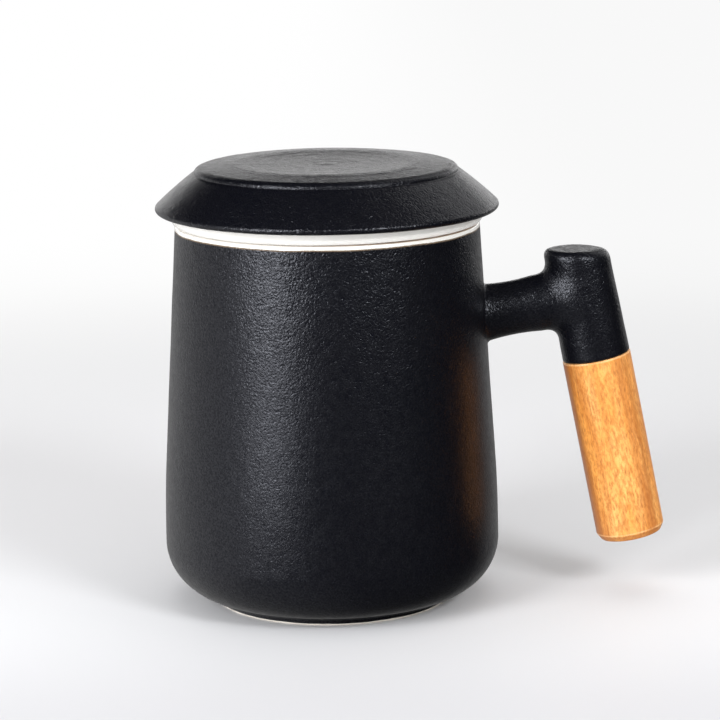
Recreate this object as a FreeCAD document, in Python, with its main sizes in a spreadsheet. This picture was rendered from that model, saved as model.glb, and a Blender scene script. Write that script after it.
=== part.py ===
import FreeCAD, Part
import math
import os

import Sketcher
from FreeCAD import Placement, Rotation, Vector

# Lidded tea mug with a drop-in infuser and a wooden grip. Millimetres.
# Frame: origin at the centre of the foot ring on the table, +Z up, handle towards +X.

doc = FreeCAD.newDocument("tea_mug")
sheet = doc.addObject("Spreadsheet::Sheet", "dims")

VALUES = {
    # cup, outside
    "foot_flat_inner": 28.6,
    "foot_flat_outer": 30.45,
    "foot_round": 0.45,
    "foot_root_outer": 31.3,
    "foot_height": 2.35,
    "foot_recess": 1.9,
    "foot_recess_reach": 27.6,
    "corner_edge_reach": 34.61,
    "corner_edge_height": 2.79,
    "corner_round": 14.2,
    "belly_reach": 44.0,
    "belly_height": 16.15,
    "belly_sweep": 363.8,
    "shoulder_reach": 43.25,
    "shoulder_height": 39.5,
    "lip_reach": 39.68,
    "lip_height": 100.3,
    "lip_round": 0.7,
    # cup, inside
    "lip_flat_inner": 36.9,
    "mouth_reach": 35.9,
    "mouth_round": 1.0,
    "inner_belly_reach": 39.7,
    "inner_belly_height": 20.0,
    "inner_corner_round": 12.0,
    "floor_height": 7.6,
    "floor_reach": 27.7,
    # handle stub, along its own axis from the wall
    "stub_root_x": 41.5,
    "stub_root_z": 75.5,
    "stub_rise_angle": 9.5,
    "stub_back": 2.5,
    "stub_back_radius": 7.83,
    "stub_waist_end": 13.0,
    "stub_front_radius": 7.41,
    "stub_sweep": 53.6,
    "stub_length": 21.5,
    # handle socket, along the grip's tilted axis from the joint with the wood
    "joint_x": 70.11,
    "joint_z": 63.53,
    "grip_tilt": 10.9,
    "socket_radius": 8.88,
    "socket_top_radius": 8.32,
    "socket_rise": 33.0,
    "socket_edge": 0.35,
    "socket_top_height": 92.0,
    "socket_top_round": 1.6,
    "stub_blend": 2.3,
    "root_blend": 0.7,
    "bore_radius": 4.75,
    "bore_depth": 20.0,
    "bore_tip": 1.6,
    # infuser
    "flange_top": 104.0,
    "flange_reach": 40.5,
    "flange_under_round": 1.6,
    "flange_top_round": 0.7,
    "flange_mouth_reach": 33.3,
    "flange_mouth_round": 0.9,
    "basket_root_reach": 34.9,
    "basket_root_round": 0.8,
    "basket_low_reach": 32.2,
    "basket_low_height": 44.2,
    "basket_corner": 6.2,
    "basket_floor_reach": 26.3,
    "basket_base": 38.0,
    "basket_floor_top": 41.0,
    "basket_wall": 2.6,
    "basket_inner_corner": 4.4,
    "hole_radius": 1.1,
    "ring_step": 5.4,
    "row_low": 48.0,
    "row_step": 5.2,
    # lid
    "dish_centre": 115.26,
    "dish_sweep": 412.0,
    "dish_reach": 23.0,
    "dish_rim": 115.9025,
    "rim_round": 6.0,
    "rim_fall_reach": 23.858,
    "rim_fall_height": 115.889,
    "crown_start_reach": 32.127,
    "crown_start_height": 115.193,
    "crown_sweep": 4.5,
    "crown_turn_reach": 33.637,
    "crown_turn_height": 114.788,
    "crown_round": 1.2,
    "disc_reach": 34.33,
    "disc_side_top": 113.7,
    "disc_side_foot": 113.62,
    "shoulder_start": 34.5,
    "shoulder_start_height": 113.5,
    "cone_start": 34.95,
    "cone_start_height": 113.36,
    "cone_sweep": 110.0,
    "brim_start": 44.325,
    "brim_start_height": 105.395,
    "brim_round": 1.03,
    "brim_low_reach": 43.67,
    "brim_low": 103.57,
    "brim_inner": 42.7,
    "seat_outer": 41.9,
    "seat_inner": 32.0,
    "seat_round": 0.6,
    "ring_reach": 31.4,
    "ring_low": 100.8,
    "ring_round": 0.6,
    "ring_inner": 28.8,
    "dome_reach": 28.2,
    "dome_spring": 106.6,
    "dome_corner": 3.6,
    "dome_top_reach": 24.2,
    "dome_top": 110.1,
    # wooden grip and its fixing, along the tilted axis, downwards from the joint
    "grip_radius": 9.03,
    "grip_length": 49.1,
    "grip_top_break": 0.35,
    "grip_end_break": 1.6,
    "grip_end_inset": 0.85,
    "grip_end_edge": 0.15,
    "insert_bore_radius": 4.5,
    "insert_bore_depth": 15.0,
    "pilot_radius": 3.3,
    "pilot_depth": 27.0,
    "insert_length": 14.0,
    "insert_groove": 0.5,
    "stud_radius": 3.0,
    "stud_up": 18.5,
    "stud_down": 24.0,
    "stud_groove": 0.45,
    "stud_break": 0.6,
    "bond_length": 19.8,
}

row = 1
for name, value in VALUES.items():
    sheet.set("A%d" % row, name)
    sheet.set("B%d" % row, repr(value))
    sheet.setAlias("B%d" % row, name)
    row += 1
doc.recompute()


class Q:
    """A length with its value and the sheet expression it comes from."""

    def __init__(self, value, text):
        self.value = float(value)
        self.text = text

    def __add__(self, other):
        o = as_q(other)
        return Q(self.value + o.value, "(%s + %s)" % (self.text, o.text))

    __radd__ = __add__

    def __sub__(self, other):
        o = as_q(other)
        return Q(self.value - o.value, "(%s - %s)" % (self.text, o.text))

    def __rsub__(self, other):
        return as_q(other) - self

    def __mul__(self, k):
        return Q(self.value * k, "(%s * %r)" % (self.text, float(k)))

    __rmul__ = __mul__

    def __neg__(self):
        return Q(-self.value, "(-1 * %s)" % self.text)


def as_q(x):
    return x if isinstance(x, Q) else Q(x, repr(float(x)))


def d(name):
    return Q(VALUES[name], "dims.%s" % name)


def arc_through(p, q, radius, left):
    """Arc from p to q of the given radius. left: the centre lies to the left of the way from p to q."""
    mid = (p + q) * 0.5
    way = q - p
    half = way.Length / 2
    side = Vector(-way.y, way.x, 0) / way.Length
    rise = math.sqrt(max(radius * radius - half * half, 0.0))
    centre = mid + side * (rise if left else -rise)
    a = math.atan2(p.y - centre.y, p.x - centre.x)
    b = math.atan2(q.y - centre.y, q.x - centre.x)
    circle = Part.Circle(centre, Vector(0, 0, 1), radius)
    # counter-clockwise from p to q when the centre is on the left
    if left:
        while b < a:
            b += 2 * math.pi
        return Part.ArcOfCircle(circle, a, b), 1, 2
    while a < b:
        a += 2 * math.pi
    return Part.ArcOfCircle(circle, b, a), 2, 1


def plane(body, role):
    return [f for f in body.Origin.OriginFeatures if f.Role == role][0]


def outline(body, name, role, steps, offset=None):
    """Closed outline. steps: [(x, y), ...] or (x, y, radius, left) where an arc leads from that corner to the next."""
    sk = body.newObject("Sketcher::SketchObject", name)
    sk.AttachmentSupport = [(plane(body, role), "")]
    sk.MapMode = "FlatFace"
    if offset is not None:
        sk.AttachmentOffset = offset
    corners = [(as_q(s[0]), as_q(s[1])) for s in steps]
    points = [Vector(x.value, y.value, 0) for x, y in corners]
    ends = []
    for i, s in enumerate(steps):
        p, q = points[i], points[(i + 1) % len(points)]
        if len(s) == 4:
            geo, start, end = arc_through(p, q, as_q(s[2]).value, s[3])
            g = sk.addGeometry(geo, False)
        else:
            g, start, end = sk.addGeometry(Part.LineSegment(p, q), False), 1, 2
        ends.append((g, start, end))
    cons = []
    for i in range(len(ends)):
        g, _, e = ends[i]
        h, s, _ = ends[(i + 1) % len(ends)]
        cons.append(Sketcher.Constraint("Coincident", g, e, h, s))
    sk.addConstraint(cons)
    for i, (x, y) in enumerate(corners):
        g, s, _ = ends[i]
        for kind, q in (("DistanceX", x), ("DistanceY", y)):
            if abs(q.value) < 1e-9:
                axis = -2 if kind == "DistanceX" else -1
                sk.addConstraint(Sketcher.Constraint("PointOnObject", g, s, axis))
                continue
            k = sk.addConstraint(Sketcher.Constraint(kind, -1, 1, g, s, q.value))
            sk.setExpression("Constraints[%d]" % k, q.text)
    for i, s in enumerate(steps):
        if len(s) == 4:
            q = as_q(s[2])
            k = sk.addConstraint(Sketcher.Constraint("Radius", ends[i][0], q.value))
            sk.setExpression("Constraints[%d]" % k, q.text)
    return sk


def turned(body, name, sketch, axis, kind="PartDesign::Revolution"):
    f = body.newObject(kind, name)
    f.Profile = sketch
    f.ReferenceAxis = (sketch, [axis])
    f.Angle = 360.0
    f.Refine = False
    sketch.Visibility = False
    return f


def new_body(label):
    b = doc.addObject("PartDesign::Body", label)
    b.Label = label
    return b


def grows(feature, before, up=True):
    """The step has to add (or take away) material."""
    doc.recompute()
    after = feature.Shape.Volume
    if (up and after <= before + 1e-6) or (not up and after >= before - 1e-6):
        raise RuntimeError("%s changed nothing: %.3f -> %.3f" % (feature.Label, before, after))
    return after


def in_own_axis(x, z, angle):
    """Sketch frame in the XZ plane, shifted to x, z and turned by angle about the sketch's normal."""
    return Placement(Vector(x, z, 0), Rotation(Vector(0, 0, 1), angle))


# ------------------------------------------------------------------ cup, stub and socket: one fired piece
mug = new_body("mug_body")
cup_outline = outline(
    mug,
    "cup_outline",
    "XZ_Plane",
    [
        (0, d("foot_recess")),
        (d("foot_recess_reach"), d("foot_recess")),
        (d("foot_flat_inner") - 0.35, 0.5),
        (d("foot_flat_inner"), 0),
        (d("foot_flat_outer"), 0, d("foot_round"), True),
        (d("foot_flat_outer") + d("foot_round"), d("foot_round")),
        (d("foot_root_outer"), d("foot_height") - 0.45, 0.45, False),
        (d("foot_root_outer") + 0.45, d("foot_height")),
        (d("corner_edge_reach") - 0.45, d("foot_height") + 0.05, 0.5, True),
        (d("corner_edge_reach"), d("corner_edge_height"), d("corner_round"), True),
        (d("belly_reach"), d("belly_height"), d("belly_sweep"), True),
        (d("shoulder_reach"), d("shoulder_height")),
        (d("lip_reach"), d("lip_height") - d("lip_round"), d("lip_round"), True),
        (d("lip_reach") - d("lip_round"), d("lip_height")),
        (d("lip_flat_inner"), d("lip_height"), d("mouth_round"), True),
        (d("mouth_reach"), d("lip_height") - d("mouth_round")),
        (d("inner_belly_reach"), d("inner_belly_height"), d("inner_corner_round"), False),
        (d("floor_reach"), d("floor_height")),
        (0, d("floor_height")),
    ],
)
cup = turned(mug, "cup", cup_outline, "V_Axis")
doc.recompute()
volume = cup.Shape.Volume

stub_outline = outline(
    mug,
    "stub_outline",
    "XZ_Plane",
    [
        (-d("stub_back"), 0),
        (-d("stub_back"), d("stub_back_radius"), d("stub_sweep"), True),
        (d("stub_waist_end"), d("stub_front_radius")),
        (d("stub_length"), d("stub_front_radius")),
        (d("stub_length"), 0),
    ],
    in_own_axis(VALUES["stub_root_x"], VALUES["stub_root_z"], VALUES["stub_rise_angle"]),
)
stub_outline.setExpression("AttachmentOffset.Base.x", "dims.stub_root_x")
stub_outline.setExpression("AttachmentOffset.Base.y", "dims.stub_root_z")
stub = turned(mug, "stub", stub_outline, "H_Axis")
volume = grows(stub, volume)

socket_outline = outline(
    mug,
    "socket_outline",
    "XZ_Plane",
    [
        (0, 0),
        (d("socket_radius") - d("socket_edge"), 0, d("socket_edge"), True),
        (d("socket_radius"), d("socket_edge")),
        (d("socket_top_radius"), d("socket_rise")),
        (0, d("socket_rise")),
    ],
    in_own_axis(VALUES["joint_x"], VALUES["joint_z"], VALUES["grip_tilt"]),
)
socket_outline.setExpression("AttachmentOffset.Base.x", "dims.joint_x")
socket_outline.setExpression("AttachmentOffset.Base.y", "dims.joint_z")
socket = turned(mug, "socket", socket_outline, "V_Axis")
volume = grows(socket, volume)

# the socket's top face is level although the socket leans
level_outline = outline(
    mug,
    "level_outline",
    "XZ_Plane",
    [
        (d("joint_x") - 22.0, d("socket_top_height")),
        (d("joint_x") + 12.0, d("socket_top_height")),
        (d("joint_x") + 12.0, d("socket_top_height") + 12.0),
        (d("joint_x") - 22.0, d("socket_top_height") + 12.0),
    ],
)
level = mug.newObject("PartDesign::Pocket", "level_top")
level.Profile = level_outline
level.Type = 0
level.Length = 40.0
level.Midplane = True
level.Refine = False
level_outline.Visibility = False
volume = grows(level, volume, up=False)

bore_outline = outline(
    mug,
    "bore_outline",
    "XZ_Plane",
    [
        (0, -1.0),
        (d("bore_radius"), -1.0),
        (d("bore_radius"), d("bore_depth")),
        (0, d("bore_depth") + d("bore_tip")),
    ],
    in_own_axis(VALUES["joint_x"], VALUES["joint_z"], VALUES["grip_tilt"]),
)
bore_outline.setExpression("AttachmentOffset.Base.x", "dims.joint_x")
bore_outline.setExpression("AttachmentOffset.Base.y", "dims.joint_z")
bore = turned(mug, "blind_bore", bore_outline, "V_Axis", "PartDesign::Groove")
volume = grows(bore, volume, up=False)


def edges_where(shape, test):
    out = []
    for i, e in enumerate(shape.Edges):
        try:
            ps = e.discretize(9)
        except Exception:
            continue
        if test(e, ps):
            out.append("Edge%d" % (i + 1))
    return out


tilt = math.radians(VALUES["grip_tilt"])
axis_up = Vector(-math.sin(tilt), 0, math.cos(tilt))
joint = Vector(VALUES["joint_x"], 0, VALUES["joint_z"])


def from_axis(p):
    v = p - joint
    along = v.dot(axis_up)
    return along, (v - axis_up * along).Length


def is_top(e, ps):
    return all(abs(p.z - VALUES["socket_top_height"]) < 1e-3 and p.x > 50 for p in ps)


def is_meeting(e, ps):
    """Where the stub runs into the socket."""
    ok = True
    for p in ps:
        along, reach = from_axis(p)
        limit = VALUES["socket_radius"] + (VALUES["socket_top_radius"] - VALUES["socket_radius"]) * along / VALUES["socket_rise"]
        ok = ok and abs(reach - limit) < 0.06 and 6 < along < 28 and p.x < 69.5
    flat = max(p.z for p in ps) - min(p.z for p in ps)
    return ok and flat > 1.0 and min(p.z for p in ps) > 66 and e.Length > 5 and any(abs(p.y) > 3 for p in ps)


def is_root(e, ps):
    """Where the stub leaves the cup's wall."""
    ok = True
    for p in ps:
        r = math.hypot(p.x, p.y)
        wall = VALUES["lip_reach"] + (VALUES["shoulder_reach"] - VALUES["lip_reach"]) * (
            VALUES["lip_height"] - VALUES["lip_round"] - p.z
        ) / (VALUES["lip_height"] - VALUES["lip_round"] - VALUES["shoulder_height"])
        ok = ok and abs(r - wall) < 0.05 and abs(p.y) < 9 and p.x > 30 and 62 < p.z < 90
    return ok and any(abs(p.y) > 3 for p in ps)


top_round = mug.newObject("PartDesign::Fillet", "top_round")
top_round.Base = (bore, edges_where(bore.Shape, is_top))
top_round.Radius = VALUES["socket_top_round"]
top_round.setExpression("Radius", "dims.socket_top_round")
top_round.Refine = False
grows(top_round, volume, up=False)

meet_blend = mug.newObject("PartDesign::Fillet", "stub_blend")
meet_blend.Base = (top_round, edges_where(top_round.Shape, is_meeting))
meet_blend.Radius = VALUES["stub_blend"]
meet_blend.setExpression("Radius", "dims.stub_blend")
meet_blend.Refine = False
grows(meet_blend, top_round.Shape.Volume)

root_blend = mug.newObject("PartDesign::Fillet", "root_blend")
root_blend.Base = (meet_blend, edges_where(meet_blend.Shape, is_root))
root_blend.Radius = VALUES["root_blend"]
root_blend.setExpression("Radius", "dims.root_blend")
root_blend.Refine = False
grows(root_blend, meet_blend.Shape.Volume)
mug.Tip = root_blend

# ------------------------------------------------------------------ infuser basket
infuser = new_body("infuser")
seat = d("lip_height")
basket_outline = outline(
    infuser,
    "basket_outline",
    "XZ_Plane",
    [
        (0, d("basket_base")),
        (d("basket_floor_reach"), d("basket_base"), d("basket_corner"), True),
        (d("basket_low_reach"), d("basket_low_height")),
        (d("basket_root_reach"), seat - d("basket_root_round"), d("basket_root_round"), False),
        (d("basket_root_reach") + d("basket_root_round"), seat),
        (d("flange_reach") - d("flange_under_round"), seat, d("flange_under_round"), True),
        (d("flange_reach"), seat + d("flange_under_round")),
        (d("flange_reach") - 0.05, d("flange_top") - d("flange_top_round"), d("flange_top_round"), True),
        (d("flange_reach") - 0.05 - d("flange_top_round"), d("flange_top")),
        (d("flange_mouth_reach"), d("flange_top"), d("flange_mouth_round"), True),
        (d("flange_mouth_reach") - d("flange_mouth_round"), d("flange_top") - d("flange_mouth_round")),
        (d("basket_low_reach") - d("basket_wall"), d("basket_floor_top") + d("basket_inner_corner"), d("basket_inner_corner"), False),
        (d("basket_low_reach") - d("basket_wall") - d("basket_inner_corner"), d("basket_floor_top")),
        (0, d("basket_floor_top")),
    ],
)
basket = turned(infuser, "basket", basket_outline, "V_Axis")
doc.recompute()
volume = basket.Shape.Volume


def circle_sketch(body, name, role, circles, offset=None):
    sk = body.newObject("Sketcher::SketchObject", name)
    sk.AttachmentSupport = [(plane(body, role), "")]
    sk.MapMode = "FlatFace"
    if offset is not None:
        sk.AttachmentOffset = offset
    for cx, cy in circles:
        cx, cy = as_q(cx), as_q(cy)
        g = sk.addGeometry(Part.Circle(Vector(cx.value, cy.value, 0), Vector(0, 0, 1), VALUES["hole_radius"]), False)
        for kind, q in (("DistanceX", cx), ("DistanceY", cy)):
            if abs(q.value) < 1e-9:
                sk.addConstraint(Sketcher.Constraint("PointOnObject", g, 3, -2 if kind == "DistanceX" else -1))
                continue
            k = sk.addConstraint(Sketcher.Constraint(kind, -1, 1, g, 3, q.value))
            sk.setExpression("Constraints[%d]" % k, q.text)
        k = sk.addConstraint(Sketcher.Constraint("Radius", g, VALUES["hole_radius"]))
        sk.setExpression("Constraints[%d]" % k, "dims.hole_radius")
    return sk


def drill(body, name, sketch, length, before, reverse):
    f = body.newObject("PartDesign::Pocket", name)
    f.Profile = sketch
    f.Type = 0
    f.Length = length
    f.Reversed = reverse
    f.Refine = False
    sketch.Visibility = False
    doc.recompute()
    if f.Shape.isNull() or f.Shape.Volume >= before - 1e-6:
        f.Reversed = not reverse
    grows(f, before, up=False)
    return f


def around(body, name, feature, count, before):
    p = body.newObject("PartDesign::PolarPattern", name)
    p.Originals = [feature]
    p.Axis = (plane(body, "Z_Axis"), [""])
    p.Angle = 360.0
    p.Occurrences = count
    p.Refine = False
    body.Tip = p
    grows(p, before, up=False)
    return p


centre_hole = drill(infuser, "centre_hole", circle_sketch(infuser, "centre_hole_outline", "XY_Plane", [(0, 0)]), 60.0, volume, True)
volume = centre_hole.Shape.Volume
last = centre_hole
for k, count in ((1, 6), (2, 12), (3, 18), (4, 24)):
    sk = circle_sketch(infuser, "floor_ring_%d_outline" % k, "XY_Plane", [(d("ring_step") * k, 0)])
    hole = drill(infuser, "floor_hole_%d" % k, sk, 60.0, volume, True)
    volume = hole.Shape.Volume
    last = around(infuser, "floor_ring_%d" % k, hole, count, volume)
    volume = last.Shape.Volume

for k in (0, 1, 2):
    sk = circle_sketch(infuser, "wall_row_%d_outline" % k, "YZ_Plane", [(0, d("row_low") + d("row_step") * k)])
    hole = drill(infuser, "wall_hole_%d" % k, sk, 60.0, volume, False)
    # the pocket has to run towards +X only, so that one hole is one wall
    volume = hole.Shape.Volume
    last = around(infuser, "wall_row_%d" % k, hole, 24, volume)
    volume = last.Shape.Volume
infuser.Tip = last

# ------------------------------------------------------------------ lid
lid = new_body("lid")
lid_outline = outline(
    lid,
    "lid_outline",
    "XZ_Plane",
    [
        (0, d("dome_top")),
        (d("dome_top_reach"), d("dome_top"), d("dome_corner") + 0.35, False),
        (d("dome_reach"), d("dome_spring")),
        (d("ring_inner"), d("ring_low") + d("ring_round"), d("ring_round"), True),
        (d("ring_inner") + d("ring_round"), d("ring_low")),
        (d("ring_reach") - d("ring_round"), d("ring_low"), d("ring_round"), True),
        (d("ring_reach"), d("ring_low") + d("ring_round")),
        (d("ring_reach"), d("flange_top") - d("seat_round"), d("seat_round"), False),
        (d("ring_reach") + d("seat_round"), d("flange_top")),
        (d("seat_outer"), d("flange_top")),
        (d("brim_inner"), d("brim_low"), ),
        (d("brim_low_reach"), d("brim_low"), d("brim_round"), True),
        (d("brim_start"), d("brim_start_height"), d("cone_sweep"), True),
        (d("cone_start"), d("cone_start_height")),
        (d("shoulder_start"), d("shoulder_start_height")),
        (d("disc_reach"), d("disc_side_foot")),
        (d("disc_reach"), d("disc_side_top"), d("crown_round"), True),
        (d("crown_turn_reach"), d("crown_turn_height"), d("crown_sweep"), True),
        (d("crown_start_reach"), d("crown_start_height")),
        (d("rim_fall_reach"), d("rim_fall_height"), d("rim_round"), True),
        (d("dish_reach"), d("dish_rim"), d("dish_sweep"), False),
        (0, d("dish_centre")),
    ],
)
lid_turned = turned(lid, "lid_turned", lid_outline, "V_Axis")
lid.Tip = lid_turned


# ------------------------------------------------------------------ wooden grip and what holds it
def leaning_body(label):
    b = new_body(label)
    b.Placement = Placement(joint, Rotation(Vector(0, 1, 0), -VALUES["grip_tilt"]))
    b.setExpression("Placement.Base.x", "dims.joint_x")
    b.setExpression("Placement.Base.z", "dims.joint_z")
    return b


grip = leaning_body("wooden_grip")
grip_outline = outline(
    grip,
    "grip_outline",
    "XZ_Plane",
    [
        (0, -d("pilot_depth") - 2.0),
        (d("pilot_radius"), -d("pilot_depth")),
        (d("pilot_radius"), -d("insert_bore_depth")),
        (d("insert_bore_radius"), -d("insert_bore_depth")),
        (d("insert_bore_radius"), 0),
        (d("grip_radius") - d("grip_top_break"), 0),
        (d("grip_radius"), -d("grip_top_break")),
        (d("grip_radius"), -d("grip_length") + d("grip_end_break")),
        (d("grip_radius") - d("grip_end_inset"), -d("grip_length") + d("grip_end_edge")),
        (d("grip_radius") - d("grip_end_inset") - d("grip_end_edge"), -d("grip_length")),
        (0, -d("grip_length")),
    ],
)
grip_turned = turned(grip, "grip_turned", grip_outline, "V_Axis")
grip.Tip = grip_turned


def grooved(x, y_top, y_low, depth, pitch, count, start):
    """Corners down a grooved cylinder: full radius, then V grooves at the given pitch."""
    out = [(x, y_top)]
    for i in range(count):
        y = y_top - (start + pitch * i)
        out.append((x, y))
        out.append((x - depth, y - pitch * 0.3))
        out.append((x, y - pitch * 0.6))
    out.append((x, y_low))
    return out


stud = leaning_body("grip_stud")
stud_outline = outline(
    stud,
    "stud_outline",
    "XZ_Plane",
    [(0, d("stud_up")), (d("stud_radius") - d("stud_break"), d("stud_up"))]
    + grooved(d("stud_radius"), d("stud_up") - d("stud_break"), -d("stud_down") + d("stud_break"), d("stud_groove"), 1.0, 40, 0.4)
    + [(d("stud_radius") - d("stud_break"), -d("stud_down")), (0, -d("stud_down"))],
)
stud_turned = turned(stud, "stud_turned", stud_outline, "V_Axis")
stud.Tip = stud_turned

bond = leaning_body("stud_bond")
bond_outline = outline(
    bond,
    "bond_outline",
    "XZ_Plane",
    [
        (0, d("stud_up")),
        (d("stud_radius"), d("stud_up")),
        (d("stud_radius"), 0.3),
        (d("bore_radius"), 0.3),
        (d("bore_radius"), d("bond_length")),
        (0, d("bond_length")),
    ],
)
bond_turned = turned(bond, "bond_turned", bond_outline, "V_Axis")
bond.Tip = bond_turned

insert = leaning_body("grip_insert")
insert_outline = outline(
    insert,
    "insert_outline",
    "XZ_Plane",
    [(d("stud_radius"), -0.3), (d("insert_bore_radius") - 0.3, -0.3)]
    + grooved(d("insert_bore_radius"), Q(-0.6, "-0.6"), -d("insert_length") + 0.3, d("insert_groove"), 2.0, 6, 0.5)
    + [(d("insert_bore_radius") - 0.3, -d("insert_length")), (d("stud_radius"), -d("insert_length"))],
)
insert_turned = turned(insert, "insert_turned", insert_outline, "V_Axis")
insert.Tip = insert_turned

doc.recompute()

# ------------------------------------------------------------------ look at every piece, then write it
bad = [o.Label for o in doc.Objects if any(s in ("Invalid", "Error") for s in o.State)]
if bad:
    raise RuntimeError("not recomputed cleanly: %s" % bad)

bodies = [mug, infuser, lid, grip, stud, bond, insert]
os.makedirs("parts", exist_ok=True)
for b in bodies:
    s = b.Shape
    if s.isNull() or not s.isValid() or len(s.Solids) != 1:
        raise RuntimeError("%s is not one valid solid" % b.Label)
for b in bodies:
    s = b.Shape
    s.exportStep("parts/%s.step" % b.Label)
    box = s.BoundBox
    print(
        "%-12s volume %9.1f  faces %3d  x %.2f %.2f  y %.2f %.2f  z %.2f %.2f"
        % (b.Label, s.Volume, len(s.Faces), box.XMin, box.XMax, box.YMin, box.YMax, box.ZMin, box.ZMax)
    )
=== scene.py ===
import math

import bmesh
import bpy
import numpy as np
from mathutils import Matrix, Vector


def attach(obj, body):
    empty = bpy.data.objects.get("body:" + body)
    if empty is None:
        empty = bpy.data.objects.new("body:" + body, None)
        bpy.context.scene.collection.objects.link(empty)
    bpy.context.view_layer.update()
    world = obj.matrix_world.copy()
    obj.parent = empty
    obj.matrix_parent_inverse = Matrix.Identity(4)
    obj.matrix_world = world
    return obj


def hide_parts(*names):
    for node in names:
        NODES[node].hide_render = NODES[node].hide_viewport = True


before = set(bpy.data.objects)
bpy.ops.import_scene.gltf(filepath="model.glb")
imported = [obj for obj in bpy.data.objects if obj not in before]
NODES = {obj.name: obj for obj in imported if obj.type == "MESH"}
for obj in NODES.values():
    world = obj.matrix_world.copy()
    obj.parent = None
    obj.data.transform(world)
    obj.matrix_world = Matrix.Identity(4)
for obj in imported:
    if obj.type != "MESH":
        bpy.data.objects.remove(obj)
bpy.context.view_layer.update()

# A lidded tea mug: a black textured cup with a white lip, a white infuser basket
# that hangs in it, a black lid on top, and a side handle whose socket holds a
# turned wooden grip. Lengths below are in millimetres until a mesh is written.
MM = 0.001
scene = bpy.context.scene

SEG = 360  # steps round the cup
# the axis of the handle's socket and of the wooden grip leans from the vertical
TILT = math.radians(10.9)
JOINT = np.array([70.11, 0.0, 63.53])
UP = np.array([-math.sin(TILT), 0.0, math.cos(TILT)])


# ------------------------------------------------------------------ noise in numpy
def hashed(ix, iy, iz, seed):
    """A fixed value from -1 to 1 for each point of a whole-number lattice."""
    h = (ix.astype(np.int64) * 374761393 + iy.astype(np.int64) * 668265263 + iz.astype(np.int64) * 2147483647 + seed * 974634777) & 0xFFFFFFFF
    h = ((h ^ (h >> 13)) * 1274126177) & 0xFFFFFFFF
    h = ((h ^ (h >> 16)) * 2246822519) & 0xFFFFFFFF
    h = h ^ (h >> 15)
    return (h & 0xFFFFFF).astype(np.float64) / 0x7FFFFF - 1.0


def noise3(p, size, seed=0):
    """Smooth noise of the points p, from about -1 to 1, with lumps of that size."""
    q = np.asarray(p, float) / size
    i = np.floor(q).astype(np.int64)
    f = q - i
    w = f * f * f * (f * (f * 6 - 15) + 10)
    out = 0.0
    for dx in (0, 1):
        wx = w[:, 0] if dx else 1 - w[:, 0]
        for dy in (0, 1):
            wy = w[:, 1] if dy else 1 - w[:, 1]
            for dz in (0, 1):
                wz = w[:, 2] if dz else 1 - w[:, 2]
                out = out + wx * wy * wz * hashed(i[:, 0] + dx, i[:, 1] + dy, i[:, 2] + dz, seed)
    return out


def lumps(p, size, layers=2, seed=0):
    total, weight = 0.0, 1.0
    for k in range(layers):
        total = total + weight * noise3(np.asarray(p) + 17.3 * k, size / 2**k, seed + k)
        weight *= 0.5
    return total


def ease(x, a, b):
    t = np.clip((x - a) / (b - a), 0, 1)
    return t * t * (3 - 2 * t)


# ------------------------------------------------------------------ outlines
def trace(start, moves, step=0.8):
    """A dense outline in (reach, height). A move is ("L", r, z) for a straight run or
    ("A", r, z, radius, side) for an arc with its centre on the left (+1) or right (-1)
    of the travel. A sixth or fourth entry changes the step."""
    pts = [tuple(start)]
    for m in moves:
        x0, y0 = pts[-1]
        x1, y1 = m[1], m[2]
        length = math.hypot(x1 - x0, y1 - y0)
        if m[0] == "L":
            s = m[3] if len(m) > 3 else step
            n = max(1, int(math.ceil(length / s)))
            for k in range(1, n + 1):
                pts.append((x0 + (x1 - x0) * k / n, y0 + (y1 - y0) * k / n))
        else:
            radius, side = m[3], m[4]
            s = m[5] if len(m) > 5 else step
            h = math.sqrt(max(radius * radius - length * length / 4, 0))
            nx, ny = -(y1 - y0) / length, (x1 - x0) / length
            cx, cy = (x0 + x1) / 2 + side * h * nx, (y0 + y1) / 2 + side * h * ny
            a0, a1 = math.atan2(y0 - cy, x0 - cx), math.atan2(y1 - cy, x1 - cx)
            sweep = (a1 - a0) % (2 * math.pi) if side > 0 else -((a0 - a1) % (2 * math.pi))
            n = max(3, int(math.ceil(abs(sweep) * radius / s)), int(math.ceil(abs(sweep) / math.radians(11))))
            n = min(n, max(3, int(math.ceil(abs(sweep) * radius / 0.12))))
            for k in range(1, n + 1):
                a = a0 + sweep * k / n
                pts.append((cx + radius * math.cos(a), cy + radius * math.sin(a)))
    return np.array(pts)


def outline_normals(pts):
    """The side of the outline that faces out of the solid, when the travel keeps the solid on its left."""
    d = np.gradient(pts, axis=0)
    d /= np.maximum(np.linalg.norm(d, axis=1, keepdims=True), 1e-9)
    return np.stack([d[:, 1], -d[:, 0]], 1)


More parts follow.
